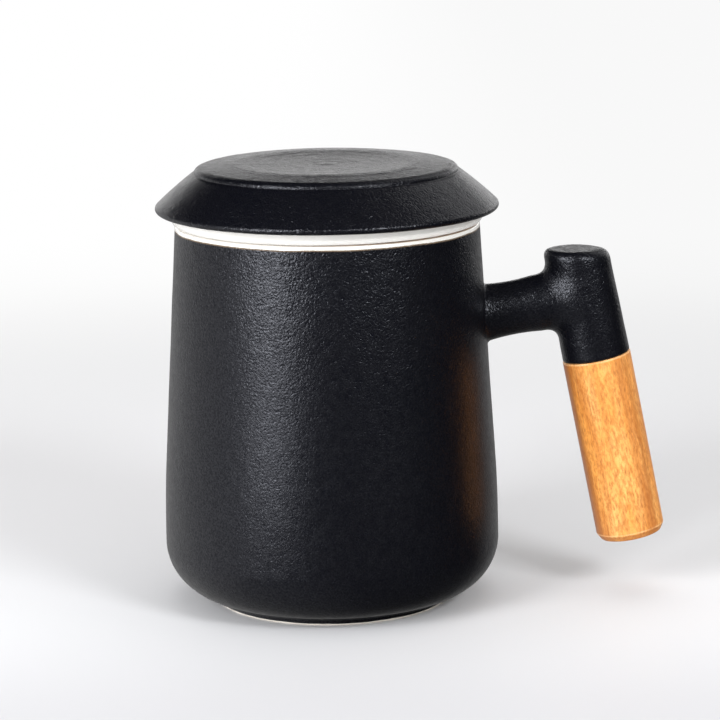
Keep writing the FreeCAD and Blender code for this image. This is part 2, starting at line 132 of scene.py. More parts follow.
def lathe(name, pts, seg=SEG, move=None, kinds=None):
    """Turns an outline into a closed mesh. move(points, outward, row) shifts the points, in mm;
    kinds gives each ring of faces its material index. An end on the axis becomes a single point."""
    nr = outline_normals(pts)
    a = 2 * math.pi * np.arange(seg) / seg
    ca, sa = np.cos(a), np.sin(a)
    rows = len(pts)
    co = np.zeros((rows, seg, 3))
    co[..., 0] = pts[:, :1] * ca
    co[..., 1] = pts[:, :1] * sa
    co[..., 2] = pts[:, 1:2]
    out = np.zeros_like(co)
    out[..., 0] = nr[:, :1] * ca
    out[..., 1] = nr[:, :1] * sa
    out[..., 2] = nr[:, 1:2]
    if move is not None:
        row = np.repeat(np.arange(rows)[:, None], seg, 1)
        co = move(co.reshape(-1, 3), out.reshape(-1, 3), row.reshape(-1)).reshape(rows, seg, 3)
    verts, faces, kind = [], [], []
    index = np.zeros((rows, seg), int)
    for k in range(rows):
        if pts[k, 0] < 1e-6:
            index[k] = len(verts)
            verts.append(co[k].mean(0))
        else:
            index[k] = len(verts) + np.arange(seg)
            verts.extend(co[k])
    closed = pts[0, 0] > 1e-6 and pts[-1, 0] > 1e-6
    for k in range(rows if closed else rows - 1):
        m = (k + 1) % rows
        g = kinds[k] if kinds is not None else 0
        lo, hi = index[k], index[m]
        for j in range(seg):
            n = (j + 1) % seg
            if lo[j] == lo[n]:
                f = (lo[j], hi[n], hi[j])
            elif hi[j] == hi[n]:
                f = (lo[j], lo[n], hi[j])
            else:
                f = (lo[j], lo[n], hi[n], hi[j])
            faces.append(f)
            kind.append(g)
    return make(name, np.array(verts), faces, kind)


def make(name, verts, faces, kind=None, matrix=None):
    mesh = bpy.data.meshes.new(name)
    mesh.from_pydata([tuple(v) for v in np.asarray(verts) * MM], [], [tuple(int(i) for i in f) for f in faces])
    mesh.update()
    mesh.polygons.foreach_set("use_smooth", np.ones(len(mesh.polygons), bool))
    if kind is not None:
        mesh.polygons.foreach_set("material_index", np.array(kind, np.int32))
    ob = bpy.data.objects.new(name, mesh)
    scene.collection.objects.link(ob)
    if matrix is not None:
        ob.matrix_world = matrix
    bm = bmesh.new()
    bm.from_mesh(mesh)
    bmesh.ops.recalc_face_normals(bm, faces=bm.faces)
    bm.to_mesh(mesh)
    bm.free()
    return ob


def combine(target, cutter, how):
    """Joins or cuts one mesh with another and throws the second away."""
    m = target.modifiers.new(how, "BOOLEAN")
    m.operation = how
    m.solver = "EXACT"
    m.object = cutter
    dg = bpy.context.evaluated_depsgraph_get()
    mesh = bpy.data.meshes.new_from_object(target.evaluated_get(dg))
    target.modifiers.clear()
    old = target.data
    target.data = mesh
    bpy.data.meshes.remove(old)
    mesh.name = target.name
    data = cutter.data
    bpy.data.objects.remove(cutter)
    bpy.data.meshes.remove(data)
    mesh.polygons.foreach_set("use_smooth", np.ones(len(mesh.polygons), bool))
    mesh.update()


# ------------------------------------------------------------------ material helpers
class Net:
    """Short ways to build a node tree."""

    def __init__(self, tree):
        self.t = tree
        self.n = tree.nodes
        self.l = tree.links

    def add(self, kind, **props):
        node = self.n.new(kind)
        for k, v in props.items():
            setattr(node, k, v)
        return node

    def put(self, value, socket):
        if isinstance(value, bpy.types.NodeSocket):
            self.l.new(value, socket)
        elif value is not None:
            socket.default_value = value

    def math(self, op, a, b=None, c=None, clamp=False):
        node = self.add("ShaderNodeMath", operation=op, use_clamp=clamp)
        for s, v in zip(node.inputs, (a, b, c)):
            self.put(v, s)
        return node.outputs[0]

    def vec(self, op, a, b=None, scale=None):
        node = self.add("ShaderNodeVectorMath", operation=op)
        self.put(a, node.inputs[0])
        if b is not None:
            self.put(b, node.inputs[1])
        if scale is not None:
            self.put(scale, node.inputs[3])
        return node.outputs["Value"] if op in ("LENGTH", "DISTANCE", "DOT_PRODUCT") else node.outputs["Vector"]

    def span(self, value, a, b, c=0.0, d=1.0, smooth=True):
        """The value's run from a to b becomes c to d, and stays there outside it."""
        node = self.add("ShaderNodeMapRange", interpolation_type="SMOOTHSTEP" if smooth else "LINEAR")
        for s, v in zip(node.inputs, (value, a, b, c, d)):
            self.put(v, s)
        return node.outputs[0]

    def mix(self, f, a, b, how="MIX"):
        node = self.add("ShaderNodeMix", data_type="RGBA", blend_type=how)
        self.put(f, node.inputs[0])
        for s, v in ((node.inputs[6], a), (node.inputs[7], b)):
            self.put(v if isinstance(v, bpy.types.NodeSocket) else (*v, 1.0) if len(v) == 3 else v, s)
        return node.outputs[2]

    def blend(self, f, a, b):
        node = self.add("ShaderNodeMix", data_type="FLOAT")
        for s, v in zip((node.inputs[0], node.inputs[2], node.inputs[3]), (f, a, b)):
            self.put(v, s)
        return node.outputs[0]

    def noise(self, vector, scale, detail=2.0, rough=0.5, distortion=0.0, kind="FBM", out="Fac"):
        node = self.add("ShaderNodeTexNoise", noise_dimensions="3D", noise_type=kind, normalize=True)
        self.put(vector, node.inputs["Vector"])
        node.inputs["Scale"].default_value = scale
        node.inputs["Detail"].default_value = detail
        node.inputs["Roughness"].default_value = rough
        node.inputs["Distortion"].default_value = distortion
        return node.outputs[out]

    def voronoi(self, vector, scale, feature="F1", out="Distance", **inputs):
        node = self.add("ShaderNodeTexVoronoi", voronoi_dimensions="3D", feature=feature)
        self.put(vector, node.inputs["Vector"])
        node.inputs["Scale"].default_value = scale
        for k, v in inputs.items():
            node.inputs[k.replace("_", " ")].default_value = v
        return node.outputs[out]

    def ramp(self, f, *stops):
        node = self.add("ShaderNodeValToRGB")
        r = node.color_ramp
        while len(r.elements) > 1:
            r.elements.remove(r.elements[-1])
        for k, (pos, col) in enumerate(stops):
            e = r.elements[0] if k == 0 else r.elements.new(pos)
            e.position = pos
            e.color = (*col, 1.0)
        self.put(f, node.inputs[0])
        return node.outputs[0]

    def bump(self, height, distance, strength=1.0, normal=None):
        node = self.add("ShaderNodeBump")
        node.inputs["Strength"].default_value = strength
        node.inputs["Distance"].default_value = distance
        self.put(height, node.inputs["Height"])
        if normal is not None:
            self.put(normal, node.inputs["Normal"])
        return node.outputs[0]

    def place(self, scale=(1, 1, 1), offset=(0, 0, 0)):
        """Where the surface is, in its own object's frame, in metres."""
        co = self.add("ShaderNodeTexCoord").outputs["Object"]
        if tuple(scale) == (1, 1, 1) and tuple(offset) == (0, 0, 0):
            return co
        node = self.add("ShaderNodeMapping")
        node.inputs["Scale"].default_value = scale
        node.inputs["Location"].default_value = offset
        self.put(co, node.inputs["Vector"])
        return node.outputs[0]


def material(name, color=(0.5, 0.5, 0.5)):
    m = bpy.data.materials.new(name)
    m.use_nodes = True
    m.diffuse_color = (*color, 1)
    net = Net(m.node_tree)
    shader = next(n for n in m.node_tree.nodes if n.type == "BSDF_PRINCIPLED")
    return m, net, shader


# ------------------------------------------------------------------ black glaze
def black_skin(net, co, fine=1.0, grain=1.0):
    """Height of the leathery skin of a matt black glaze: short winding wrinkles under a
    millimetre wide, softer swells and tiny grains. Returns (height, wrinkle)."""
    swell = net.noise(co, 330.0, 1.0, 0.5)
    warp = net.vec("SCALE", net.vec("SUBTRACT", net.noise(co, 620.0, 1.0, 0.5, out="Color"), (0.5, 0.5, 0.5)), scale=0.0007)
    bent = net.vec("ADD", co, warp)
    ridge = net.noise(bent, 960.0 * fine, 1.8, 0.6, 0.0)
    fold = net.math("ABSOLUTE", net.math("MULTIPLY_ADD", ridge, 2.0, -1.0))
    fold = net.span(fold, 0.0, 0.55, 1.0, 0.0)
    cell = net.noise(bent, 1650.0 * fine, 1.4, 0.55)
    tiny = net.noise(co, 3600.0 * fine, 1.0, 0.5)
    h = net.math("MULTIPLY_ADD", fold, 0.42, net.math("MULTIPLY", swell, 0.55))
    h = net.math("MULTIPLY_ADD", cell, 0.75, h)
    h = net.math("MULTIPLY_ADD", tiny, 0.16 * grain, h)
    return h, fold


def black_color(net, co, fold):
    """Near-black with a slight blue cast, a little browner where the glaze is thin."""
    drift = net.noise(co, 28.0, 3.0, 0.6)
    base = net.mix(net.span(drift, 0.3, 0.7), (0.0013, 0.0016, 0.0040), (0.0021, 0.0022, 0.0045))
    return net.mix(net.math("MULTIPLY", fold, 0.35), base, (0.0052, 0.0051, 0.0058))


def mottled(net, co, sh, fine=1.0):
    """The glaze is more and less glassy from grain to grain."""
    grain = net.noise(co, 2100.0 * fine, 2.0, 0.6)
    net.put(net.span(grain, 0.30, 0.70, 0.30, 0.72), sh.inputs["Specular IOR Level"])


def pinholes(net, co, scale, share, radius):
    """Sparse pale pinholes: 1 at their middle."""
    d = net.voronoi(co, scale, "F1", "Distance", Randomness=1.0)
    node = net.add("ShaderNodeTexVoronoi", voronoi_dimensions="3D", feature="F1")
    net.put(co, node.inputs["Vector"])
    node.inputs["Scale"].default_value = scale
    pick = net.add("ShaderNodeSeparateColor")
    net.put(node.outputs["Color"], pick.inputs[0])
    chosen = net.math("LESS_THAN", pick.outputs[0], share)
    spot = net.span(d, radius * 0.5, radius, 1.0, 0.0)
    return net.math("MULTIPLY", spot, chosen)


def glaze_mug_outside():
    m, net, sh = material("mug_black_glaze", (0.02, 0.02, 0.024))
    co = net.place()
    xyz = net.add("ShaderNodeSeparateXYZ")
    net.put(co, xyz.inputs[0])
    z = xyz.outputs[2]
    h, fold = black_skin(net, co)
    black = black_color(net, co, fold)
    # the lip: black glaze ends in a thin brown edge on a white one
    wander = net.noise(co, 95.0, 3.0, 0.6)
    fuzz = net.noise(co, 900.0, 2.0, 0.6)
    edge = net.math("MULTIPLY_ADD", wander, 0.00042, net.math("MULTIPLY_ADD", fuzz, 0.00022, 0.09882))
    above = net.math("SUBTRACT", z, edge)
    is_white = net.span(above, -0.00003, 0.00006)
    # painted shade: the white lip turns brown in the gap under the basket's flange
    painted_gap_shade = net.math("MULTIPLY", net.span(z, 0.09996, 0.10010), net.span(z, 0.10030, 0.10033, 1.0, 0.85))
    is_brown = net.math("MULTIPLY", net.span(above, -0.00044, -0.00010), net.math("SUBTRACT", 1.0, is_white))
    # the foot: bare clay where it stands
    clay_edge = net.math("MULTIPLY_ADD", wander, 0.00035, 0.00030)
    below = net.math("SUBTRACT", clay_edge, z)
    is_clay = net.span(below, -0.00004, 0.00004)
    cream = net.mix(net.noise(co, 240.0, 2.0, 0.6), (0.80, 0.775, 0.72), (0.86, 0.845, 0.80))
    clay = net.mix(net.noise(co, 700.0, 3.0, 0.65), (0.72, 0.66, 0.57), (0.88, 0.84, 0.77))
    holes = pinholes(net, co, 210.0, 0.020, 0.030)
    col = net.mix(holes, black, (0.30, 0.30, 0.30))
    rust = net.mix(fuzz, (0.085, 0.055, 0.034), (0.30, 0.215, 0.135))
    col = net.mix(is_brown, col, rust)
    # painted shade: the gap's shade is weaker on the left, where the light falls
    painted_gap_shade = net.math("MULTIPLY", painted_gap_shade, net.span(xyz.outputs[0], -0.030, 0.020, 0.25, 0.92))
    cream = net.mix(painted_gap_shade, cream, (0.22, 0.135, 0.075))
    col = net.mix(is_white, col, cream)
    col = net.mix(is_clay, col, clay)
    net.put(col, sh.inputs["Base Color"])
    mottled(net, co, sh)
    r = net.span(net.noise(co, 520.0, 3.0, 0.6), 0.2, 0.8, 0.30, 0.40)
    r = net.blend(is_brown, r, 0.38)
    r = net.blend(is_white, r, 0.13)
    r = net.blend(is_clay, r, 0.85)
    net.put(r, sh.inputs["Roughness"])
    soft = net.math("MULTIPLY", net.noise(co, 160.0, 1.0, 0.5), 0.4)
    h = net.blend(is_white, h, soft)
    h = net.math("MULTIPLY", h, net.span(z, 0.045, 0.102, 0.60, 1.50))
    h = net.math("SUBTRACT", h, net.math("MULTIPLY", holes, 0.8))
    sh.inputs["Specular Tint"].default_value = (0.90, 0.92, 1.0, 1)
    net.put(net.bump(h, 0.000107), sh.inputs["Normal"])
    return m


def glaze_lid():
    m, net, sh = material("lid_black_glaze", (0.02, 0.02, 0.024))
    co = net.place()
    h, fold = black_skin(net, co, 1.0, 1.2)
    xyz = net.add("ShaderNodeSeparateXYZ")
    net.put(co, xyz.inputs[0])
    # fine turning rings of the disc show through the glaze
    flat = net.add("ShaderNodeCombineXYZ")
    net.put(xyz.outputs[0], flat.inputs[0])
    net.put(xyz.outputs[1], flat.inputs[1])
    reach = net.vec("LENGTH", flat.outputs[0])
    wob = net.math("MULTIPLY_ADD", net.noise(co, 60.0, 2.0, 0.5), 0.0012, reach)
    ring = net.math("SINE", net.math("MULTIPLY", wob, 3900.0))
    h = net.math("MULTIPLY_ADD", ring, 0.05, h)
    holes = pinholes(net, co, 260.0, 0.012, 0.030)
    col = net.mix(holes, black_color(net, co, fold), (0.26, 0.26, 0.26))
    net.put(col, sh.inputs["Base Color"])
    mottled(net, co, sh, 1.15)
    r = net.span(net.noise(co, 520.0, 3.0, 0.6), 0.2, 0.8, 0.27, 0.37)
    net.put(r, sh.inputs["Roughness"])
    h = net.math("SUBTRACT", h, net.math("MULTIPLY", holes, 0.8))
    sh.inputs["Specular Tint"].default_value = (0.92, 0.93, 1.0, 1)
    net.put(net.bump(h, 0.00019), sh.inputs["Normal"])
    return m


def glaze_white(name, tint=0.0, thin_edges=False):
    """Glossy warm white glaze over porcelain, with slow waves and rare specks."""
    m, net, sh = material(name, (0.84, 0.82, 0.78))
    co = net.place()
    drift = net.noise(co, 45.0, 3.0, 0.55)
    col = net.mix(drift, (0.795 - tint, 0.775 - tint, 0.73 - tint), (0.87 - tint, 0.86 - tint, 0.825 - tint))
    cloud = net.noise(co, 420.0, 3.0, 0.6)
    col = net.mix(net.span(cloud, 0.52, 0.75, 0.0, 0.22), col, (0.74, 0.705, 0.64))
    specks = pinholes(net, co, 150.0, 0.05, 0.022)
    col = net.mix(specks, col, (0.23, 0.16, 0.10))
    net.put(col, sh.inputs["Base Color"])
    net.put(net.span(cloud, 0.25, 0.8, 0.085, 0.17), sh.inputs["Roughness"])
    sh.inputs["Coat Weight"].default_value = 0.35
    sh.inputs["Coat Roughness"].default_value = 0.06
    h = net.math("MULTIPLY_ADD", net.noise(co, 150.0, 1.0, 0.5), 1.0, net.math("MULTIPLY", net.noise(co, 900.0, 2.0, 0.5), 0.10))
    net.put(net.bump(h, 0.00006), sh.inputs["Normal"])
    return m


def bare_clay():
    m, net, sh = material("bare_clay", (0.7, 0.64, 0.55))
    co = net.place()
    col = net.mix(net.noise(co, 500.0, 4.0, 0.65), (0.58, 0.51, 0.42), (0.76, 0.70, 0.61))
    col = net.mix(pinholes(net, co, 700.0, 0.15, 0.12), col, (0.33, 0.25, 0.18))
    net.put(col, sh.inputs["Base Color"])
    net.put(net.span(net.noise(co, 900.0, 2.0, 0.5), 0.2, 0.8, 0.78, 0.95), sh.inputs["Roughness"])
    net.put(net.bump(net.noise(co, 2200.0, 3.0, 0.7), 0.00006), sh.inputs["Normal"])
    return m


# ------------------------------------------------------------------ wood
def beech():
    """Oiled beech, quarter-sawn and turned: the grain runs along the object's own Z."""
    m, net, sh = material("grip_beech", (0.72, 0.42, 0.16))
    own = net.add("ShaderNodeMapping", vector_type="TEXTURE")
    own.inputs["Location"].default_value = tuple(JOINT * MM)
    own.inputs["Rotation"].default_value = (0, -TILT, 0)
    net.put(net.place(), own.inputs["Vector"])
    co = own.outputs[0]
    # growth rings cross the turning as bands across X that wander along the grain
    low = net.add("ShaderNodeMapping")
    low.inputs["Scale"].default_value = (1, 1, 0.30)
    net.put(co, low.inputs["Vector"])
    bend = net.noise(low.outputs[0], 75.0, 3.0, 0.55, out="Color")
    co2 = net.vec("ADD", co, net.vec("SCALE", net.vec("SUBTRACT", bend, (0.5, 0.5, 0.5)), scale=0.0018))
    waver = net.noise(low.outputs[0], 420.0, 2.0, 0.5, out="Color")
    co2 = net.vec("ADD", co2, net.vec("SCALE", net.vec("SUBTRACT", waver, (0.5, 0.5, 0.5)), scale=0.0004))
    xyz = net.add("ShaderNodeSeparateXYZ")
    net.put(co2, xyz.inputs[0])
    across = net.math("MULTIPLY_ADD", xyz.outputs[1], 0.35, xyz.outputs[0])
    rings = net.math("FRACT", net.math("MULTIPLY_ADD", across, 330.0, 0.30))
    late = net.math("MULTIPLY", net.span(rings, 0.40, 0.94), net.span(rings, 1.0, 0.95, 0.0, 1.0))

    def along(scale_z, source=co2):
        node = net.add("ShaderNodeMapping")
        node.inputs["Scale"].default_value = (1, 1, scale_z)
        net.put(source, node.inputs["Vector"])
        return node.outputs[0]

    fibre = net.noise(along(0.24), 1700.0, 3.0, 0.7)
    streak = net.noise(along(0.22), 420.0, 4.0, 0.68)
    cloud = net.noise(along(0.22), 210.0, 4.0, 0.62)
    dapple = net.noise(along(0.42), 1500.0, 2.0, 0.7)
    fleck = net.voronoi(along(0.30, co), 1250.0, "F1", "Distance", Randomness=1.0)
    fleck = net.span(fleck, 0.14, 0.34, 1.0, 0.0)
    light, mid = (0.99, 0.515, 0.155), (0.87, 0.365, 0.078)
    dark, red = (0.40, 0.120, 0.018), (0.46, 0.135, 0.022)
    col = net.mix(net.span(cloud, 0.36, 0.62), mid, light)
    col = net.mix(net.span(dapple, 0.40, 0.66, 0.0, 0.70), col, (0.60, 0.200, 0.032))
    col = net.mix(net.span(streak, 0.50, 0.70, 0.0, 0.50), col, dark)
    # darker heart bands towards both sides of the turning, as seen from the front
    own_x = net.add("ShaderNodeSeparateXYZ")
    net.put(co2, own_x.inputs[0])
    bands = net.math("MAXIMUM", net.span(own_x.outputs[0], -0.0040, -0.0064), net.math("MULTIPLY", net.span(own_x.outputs[0], 0.0030, 0.0056), net.span(own_x.outputs[0], 0.0062, 0.0082, 1.0, 0.35)))
    bands = net.math("MULTIPLY", bands, net.span(net.noise(along(0.12), 260.0, 3.0, 0.6), 0.30, 0.62))
    col = net.mix(net.math("MULTIPLY", bands, 0.66), col, (0.44, 0.115, 0.014))
    # painted shade: the side of the grip that faces the cup is darkened
    painted_cup_side_shade = net.span(own_x.outputs[0], -0.0068, -0.0088)
    col = net.mix(net.math("MULTIPLY", painted_cup_side_shade, 0.72), col, (0.33, 0.098, 0.016))
    col = net.mix(net.math("MULTIPLY", late, 0.22), col, dark)
    col = net.mix(net.span(fibre, 0.48, 0.72, 0.0, 0.62), col, red)
    col = net.mix(net.math("MULTIPLY", fleck, 0.42), col, dark)
    # painted highlight: a pale line at the shoulder and along the bevel's edge, broken up by noise; the bevel itself is
    # darker
    ends = net.add("ShaderNodeSeparateXYZ")
    net.put(co, ends.inputs[0])
    lz = ends.outputs[2]
    painted_edge_highlight = net.math("MAXIMUM", net.span(lz, -0.00062, -0.00036),
                    net.math("MULTIPLY", net.span(lz, -0.04762, -0.04746), net.span(lz, -0.04722, -0.04706, 1.0, 0.0)))
    painted_edge_highlight = net.math("MULTIPLY", painted_edge_highlight, net.span(net.noise(co, 260.0, 2.0, 0.6), 0.25, 0.75, 0.15, 0.60))
    col = net.mix(painted_edge_highlight, col, (0.98, 0.62, 0.30))
    col = net.mix(net.span(lz, -0.04756, -0.04782, 0.0, 0.55), col, (0.42, 0.150, 0.034))
    net.put(col, sh.inputs["Base Color"])
    rough = net.span(net.math("ADD", net.math("MULTIPLY", fibre, 0.6), net.math("MULTIPLY", fleck, 0.25)), 0.2, 0.7, 0.34, 0.50)
    net.put(rough, sh.inputs["Roughness"])
    h = net.math("MULTIPLY_ADD", fibre, 0.7, net.math("MULTIPLY", streak, 0.35))
    h = net.math("SUBTRACT", h, net.math("MULTIPLY", fleck, 0.40))
    net.put(net.bump(h, 0.00007), sh.inputs["Normal"])
    return m


# ------------------------------------------------------------------ hidden fixings
def metal(name, base, deep, rough, grain):
    m, net, sh = material(name, base)
    co = net.place()
    turned = net.add("ShaderNodeMapping")
    turned.inputs["Rotation"].default_value = (0, math.radians(10.9), 0)
    turned.inputs["Scale"].default_value = (0.08, 0.08, 1.0)
    net.put(co, turned.inputs["Vector"])
    lines = net.noise(turned.outputs[0], grain, 3.0, 0.6)
    drift = net.noise(co, 180.0, 3.0, 0.6)
    net.put(net.mix(net.span(net.math("MULTIPLY_ADD", lines, 0.5, net.math("MULTIPLY", drift, 0.5)), 0.3, 0.7), base, deep), sh.inputs["Base Color"])
    sh.inputs["Metallic"].default_value = 1.0
    net.put(net.span(lines, 0.25, 0.75, rough - 0.08, rough + 0.10), sh.inputs["Roughness"])
    net.put(net.bump(lines, 0.00002), sh.inputs["Normal"])
    return m


def resin():
    m, net, sh = material("stud_adhesive", (0.55, 0.5, 0.38))
    co = net.place()
    col = net.mix(net.noise(co, 320.0, 3.0, 0.6), (0.47, 0.41, 0.29), (0.60, 0.55, 0.42))
    col = net.mix(pinholes(net, co, 900.0, 0.3, 0.10), col, (0.30, 0.26, 0.18))
    net.put(col, sh.inputs["Base Color"])
    net.put(net.span(net.noise(co, 500.0, 2.0, 0.5), 0.2, 0.8, 0.35, 0.6), sh.inputs["Roughness"])
    sh.inputs["Subsurface Weight"].default_value = 0.0
    net.put(net.bump(net.noise(co, 700.0, 3.0, 0.6), 0.00008), sh.inputs["Normal"])
    return m


def set_only(ob, *mats):
    ob.data.materials.clear()
    for m in mats:
        ob.data.materials.append(m)


# ------------------------------------------------------------------ cup
def build_cup():
    under = [("L", 27.6, 1.9, 3.0), ("L", 28.25, 0.5, 0.5), ("L", 28.6, 0.0, 0.4), ("L", 30.45, 0.0, 0.7)]
    foot = [("A", 30.9, 0.45, 0.45, 1, 0.15), ("L", 31.3, 1.9, 0.5), ("A", 31.75, 2.35, 0.45, -1, 0.15), ("L", 34.16, 2.4, 0.8)]
    side = [
        ("A", 34.61, 2.79, 0.5, 1, 0.13),
        ("A", 44.0, 16.15, 14.2, 1, 0.8),
        ("A", 43.25, 39.5, 363.8, 1, 1.1),
        ("L", 39.74, 98.55, 1.1),
        ("L", 39.68, 99.6, 0.25),
    ]
    lip = [("A", 38.98, 100.3, 0.7, 1, 0.12), ("L", 36.9, 100.3, 0.5), ("A", 35.9, 99.3, 1.0, 1, 0.2)]
    inside = [("L", 39.7, 20.0, 1.6), ("A", 27.7, 7.6, 12.0, -1, 1.2), ("L", 3.0, 7.6, 1.8), ("L", 0.0, 7.6, 1.5)]
    runs = [under, foot, side, lip, inside]
    marks, moves = [], []
    for r in runs:
        moves += r
        marks.append(len(trace((0, 1.9), moves, 0.8)) - 1)
    pts = trace((0, 1.9), moves, 0.8)
    kinds = []
    for k in range(len(pts)):
        z = (pts[k, 1] + pts[min(k + 1, len(pts) - 1), 1]) / 2
        if k >= marks[3] or (k >= marks[2] + 4):
            kinds.append(1)
        else:
            kinds.append(0)

    def move(co, out, row):
        z = co[:, 2]
        outer = (row > marks[1]) & (row <= marks[2])
        inner = row > marks[3]
        d = np.zeros(len(co))
        # the wall is slightly uneven, as pressed and fettled clay is
        soft = 0.055 * lumps(co, 19.0, 2, 3) + 0.020 * lumps(co, 4.2, 1, 11)
        fade = ease(z, 2.8, 6.0) * (1 - ease(z, 99.0, 100.0))
        d = np.where(outer, soft * fade, d)
        thick = ease(z, 8.0, 14.0) * (1 - ease(z, 95.0, 99.0))
        d = np.where(inner, 0.05 * lumps(co, 23.0, 2, 5) * thick, d)
        return co + out * d[:, None]

    return lathe("mug_cup", pts, SEG, move, kinds), pts


# ------------------------------------------------------------------ handle, as a distance field
STUB_AT = np.array([41.5, 0.0, 75.5])
STUB_ANGLE = math.radians(9.5)
STUB_DIR = np.array([math.cos(STUB_ANGLE), 0.0, math.sin(STUB_ANGLE)])


def smooth_join(a, b, k):
    h = np.clip(0.5 + 0.5 * (b - a) / k, 0, 1)
    return b * (1 - h) + a * h - k * h * (1 - h)


def smooth_cut(a, b, k):
    """The part in both a and b, with its edge rounded."""
    return -smooth_join(-a, -b, k)


def wall_distance(p):
    """Distance outside the cup's straight side wall."""
    r = np.hypot(p[:, 0], p[:, 1])
    slope = (43.25 - 39.68) / (99.6 - 39.5)
    reach = 39.68 + (99.6 - p[:, 2]) * slope
    return (r - reach) / math.sqrt(1 + slope * slope)


def stub_distance(p):
    v = p - STUB_AT
    s = v @ STUB_DIR
    rho = np.linalg.norm(v - s[:, None] * STUB_DIR, axis=1)
    # a wide concave sweep: thickest at the wall, a waist, then a steady neck
    mid, waist, deep = 6.7, 7.04, 53.6
    t = np.clip(s, -4.0, 13.0) - mid
    reach = waist + (deep - np.sqrt(np.maximum(deep * deep - t * t, 0)))
    body = rho - reach
    return np.maximum(body, np.maximum(-3.2 - s, s - 24.0))


def socket_distance(p):
    v = p - JOINT
    s = v @ UP
    rho = np.linalg.norm(v - s[:, None] * UP, axis=1)
    reach = 8.88 + (8.32 - 8.88) * np.clip(s, 0, 33) / 33
    side = rho - reach
    top = p[:, 2] - 92.0
    k = 2.5
    return side, s, smooth_cut(side, top, k)


def handle_distance(p):
    side, s, socket = socket_distance(p)
    stub = stub_distance(p)
    wall = wall_distance(p)
    both = smooth_join(socket, stub, 3.4)
    # the neck is luted on: glaze pools in the crease at the wall
    pool = 0.95 + 0.35 * noise3(p, 2.6, 41)
    with_wall = smooth_join(both, wall + 0.05, np.maximum(pool, 0.35))
    near = np.maximum(with_wall, -(wall + 1.3))
    v = p - STUB_AT
    a = v @ STUB_DIR
    rho = np.linalg.norm(v - a[:, None] * STUB_DIR, axis=1)
    away = np.minimum(10.6 - rho, 9.0)
    keep = np.maximum(near, np.where(a < 6.0, -away, -50.0))
    # the cut that meets the wood, with its edge just broken
    d = smooth_cut(keep, -s, 0.5)
    # unevenness of a hand-made part
    d = d + 0.035 * noise3(p, 6.0, 21) + 0.022 * noise3(p, 3.0, 22) * ease(s, 1.0, 4.0)
    # shallow ripples on the level top
    d = d + 0.05 * noise3(p * np.array([1, 0.55, 0.0]), 2.6, 23) * ease(p[:, 2], 91.2, 91.9)
    # blind bore for the stud
    rho_s = np.linalg.norm((p - JOINT) - s[:, None] * UP, axis=1)
    bore = np.maximum(rho_s - 4.75, s - 20.4)
    return np.maximum(d, -bore)


def field_mesh(name, f, lo, hi, h, kind=0):
    """Surface nets on a grid, then each vertex is moved onto the surface."""
    n = [int(math.ceil((b - a) / h)) + 1 for a, b in zip(lo, hi)]
    axes = [lo[i] + h * np.arange(n[i]) for i in range(3)]
    g = np.stack(np.meshgrid(*axes, indexing="ij"), -1).reshape(-1, 3)
    val = np.empty(len(g))
    for k in range(0, len(g), 400000):
        val[k : k + 400000] = f(g[k : k + 400000])
    val = val.reshape(n)
    inside = val < 0
    cells = np.zeros([m - 1 for m in n], int)
    for dx in (0, 1):
        for dy in (0, 1):
            for dz in (0, 1):
                cells += inside[dx : n[0] - 1 + dx, dy : n[1] - 1 + dy, dz : n[2] - 1 + dz]
    active = (cells > 0) & (cells < 8)
    index = -np.ones(active.shape, int)
    where = np.argwhere(active)
    index[tuple(where.T)] = np.arange(len(where))
    # a first guess is the mean of the crossings on the cell's edges
    total, count = np.zeros((len(where), 3)), np.zeros(len(where))
    corner = [np.array(c) for c in [(0, 0, 0), (1, 0, 0), (0, 1, 0), (1, 1, 0), (0, 0, 1), (1, 0, 1), (0, 1, 1), (1, 1, 1)]]
    for a in range(8):
        for b in range(a + 1, 8):
            if np.abs(corner[a] - corner[b]).sum() != 1:
                continue
            va, vb = val[tuple((where + corner[a]).T)], val[tuple((where + corner[b]).T)]
            hit = (va < 0) != (vb < 0)
            t = np.where(hit, va / np.where(hit, va - vb, 1), 0)
            total += np.where(hit[:, None], corner[a] + t[:, None] * (corner[b] - corner[a]), 0)
            count += hit
    v = np.array(lo) + h * (where + total / count[:, None])
    e = 0.02
    for _ in range(4):
        d = f(v)
        grad = np.stack([f(v + e * np.eye(3)[i]) - f(v - e * np.eye(3)[i]) for i in range(3)], 1) / (2 * e)
        size = np.maximum((grad**2).sum(1), 0.05)
        v = v - np.clip(d / size, -0.5 * h, 0.5 * h)[:, None] * grad * 0.9
    faces = []
    for ax in range(3):
        o = [i for i in range(3) if i != ax]
        lo_s = [slice(None)] * 3
        hi_s = [slice(None)] * 3
        lo_s[ax], hi_s[ax] = slice(0, n[ax] - 1), slice(1, n[ax])
        change = inside[tuple(lo_s)] != inside[tuple(hi_s)]
        for i in range(2):
            s = [slice(None)] * 3
            s[o[i]] = slice(1, n[o[i]] - 1)
            mask = np.zeros_like(change)
            mask[tuple(s)] = True
            change &= mask
        c = np.argwhere(change)
        first = inside[tuple(lo_s)][tuple(c.T)]
        q = []
        for du, dv in ((0, 0), (1, 0), (1, 1), (0, 1)):
            k = c.copy()
            k[:, o[0]] -= du
            k[:, o[1]] -= dv
            q.append(index[tuple(k.T)])
        q = np.stack(q, 1)
        flip = first if ax != 1 else ~first
        q[flip] = q[flip][:, ::-1]
        faces.append(q)
    faces = np.concatenate(faces)
    return make(name, v, faces, np.full(len(faces), kind))


def build_handle():
    return field_mesh("mug_handle", handle_distance, (37.0, -11.2, 54.0), (81.0, 11.2, 94.0), 0.42)


